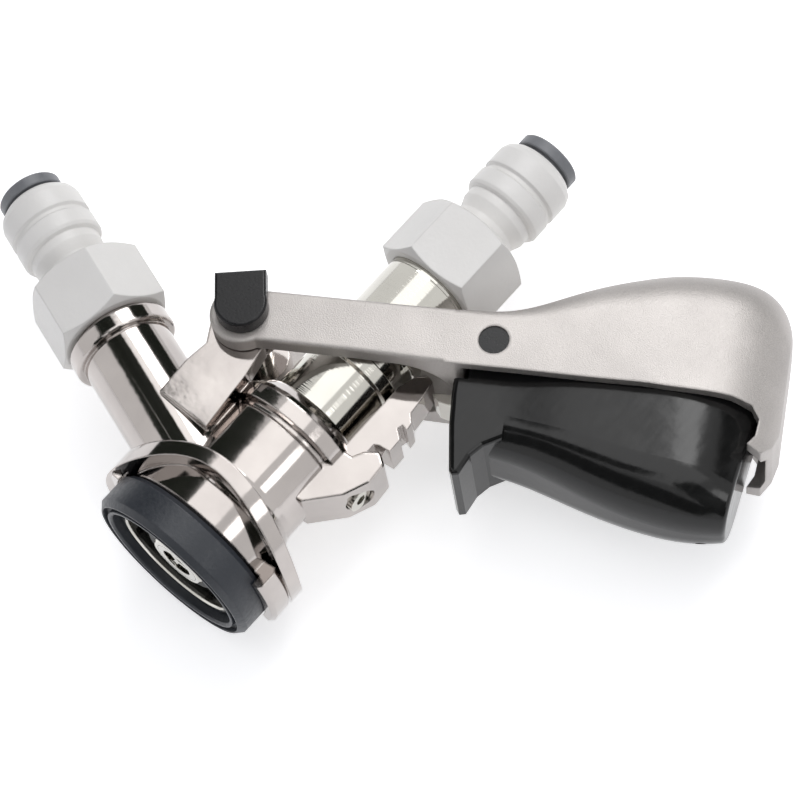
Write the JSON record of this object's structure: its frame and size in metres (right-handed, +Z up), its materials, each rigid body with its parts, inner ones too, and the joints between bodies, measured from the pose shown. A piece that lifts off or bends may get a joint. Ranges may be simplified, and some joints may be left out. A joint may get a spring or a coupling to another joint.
{
  "type": "keg coupler",
  "caption": "Twist-on keg coupler: plated body with an inclined gas inlet, sliding probe and a forked hand lever with a squeeze trigger.",
  "frame": {"origin": "Centre of the base ring lower face, on the probe axis.", "axes": "+Z up the probe away from the keg, +X toward the lever handle, +Y across the lever hinge."},
  "size_m": [0.1968, 0.0528, 0.1425],
  "materials": {
    "nickel_plate": "polished",
    "probe_steel": "polished",
    "retainer_steel": "satin",
    "cast_aluminium": "matte",
    "black_plastic": "gloss",
    "black_cap_plastic": "matte",
    "ring_rubber": "satin",
    "seal_rubber": "matte",
    "white_plastic": "satin",
    "grey_plastic": "satin",
    "spring_steel": "satin"
  },
  "bodies": {
    "body": {"body_casting": "nickel_plate", "latch_catch": "nickel_plate", "catch_screw": "retainer_steel", "base_ring": "ring_rubber", "keg_seal": "seal_rubber", "seal_retainer": "retainer_steel", "probe_o_ring_lower": "seal_rubber", "probe_o_ring_upper": "seal_rubber", "hinge_pin": "retainer_steel", "hinge_cap_near": "black_cap_plastic", "hinge_cap_far": "black_cap_plastic", "gas_fitting": "white_plastic", "gas_o_ring": "seal_rubber", "gas_washer": "seal_rubber", "gas_valve_seat": "white_plastic", "gas_valve_spring": "spring_steel"},
    "probe": {"probe": "probe_steel", "probe_seal": "seal_rubber", "ball_seat": "retainer_steel", "ball_cage": "retainer_steel", "beer_fitting": "white_plastic", "beer_o_ring": "seal_rubber", "beer_washer": "seal_rubber"},
    "ball": {"check_ball": "retainer_steel"},
    "lever": {"lever": "cast_aluminium", "drive_pins": "retainer_steel", "trigger_pin": "black_cap_plastic", "trigger_spring": "spring_steel"},
    "trigger": {"trigger": "black_plastic", "trigger_latch": "retainer_steel"},
    "gas_collet": {"gas_collet": "grey_plastic"},
    "beer_collet": {"beer_collet": "grey_plastic"},
    "gas_valve_disc": {"gas_valve_disc": "seal_rubber"}
  },
  "joints": [
    {"name": "lever_hinge", "type": "hinge", "parent": "body", "child": "lever", "pos_m": [-0.0245, 0, 0.057], "axis": [0, 1, 0], "range_deg": [0, 24]},
    {"name": "probe_slide", "type": "slide", "parent": "body", "child": "probe", "axis": [0, 0, 1], "range_m": [-0.0114, 0]},
    {"name": "trigger_squeeze", "type": "hinge", "parent": "lever", "child": "trigger", "pos_m": [0.02799, 0, 0.08807], "axis": [0, -1, 0], "range_deg": [0, 5], "stiffness_Nm_per_rad": 0.06, "springref_deg": -28.65, "deforming": ["trigger_spring"]},
    {"name": "gas_collet_press", "type": "slide", "parent": "body", "child": "gas_collet", "axis": [0.9455, 0, -0.3256], "range_m": [0, 0.001], "stiffness_N_per_m": 300, "springref_m": -0.002},
    {"name": "beer_collet_press", "type": "slide", "parent": "probe", "child": "beer_collet", "axis": [0, 0, -1], "range_m": [0, 0.001], "stiffness_N_per_m": 300, "springref_m": -0.002},
    {"name": "check_ball_lift", "type": "slide", "parent": "probe", "child": "ball", "axis": [0, 0, 1], "range_m": [0, 0.006]},
    {"name": "gas_valve_open", "type": "slide", "parent": "body", "child": "gas_valve_disc", "axis": [0.9455, 0, -0.3256], "range_m": [0, 0.0015], "stiffness_N_per_m": 50, "springref_m": -0.004, "deforming": ["gas_valve_spring"]}
  ],
  "couplings": [
    {"joint": "probe_slide", "follows": "lever_hinge", "m_per_rad": -0.02673}
  ]
}
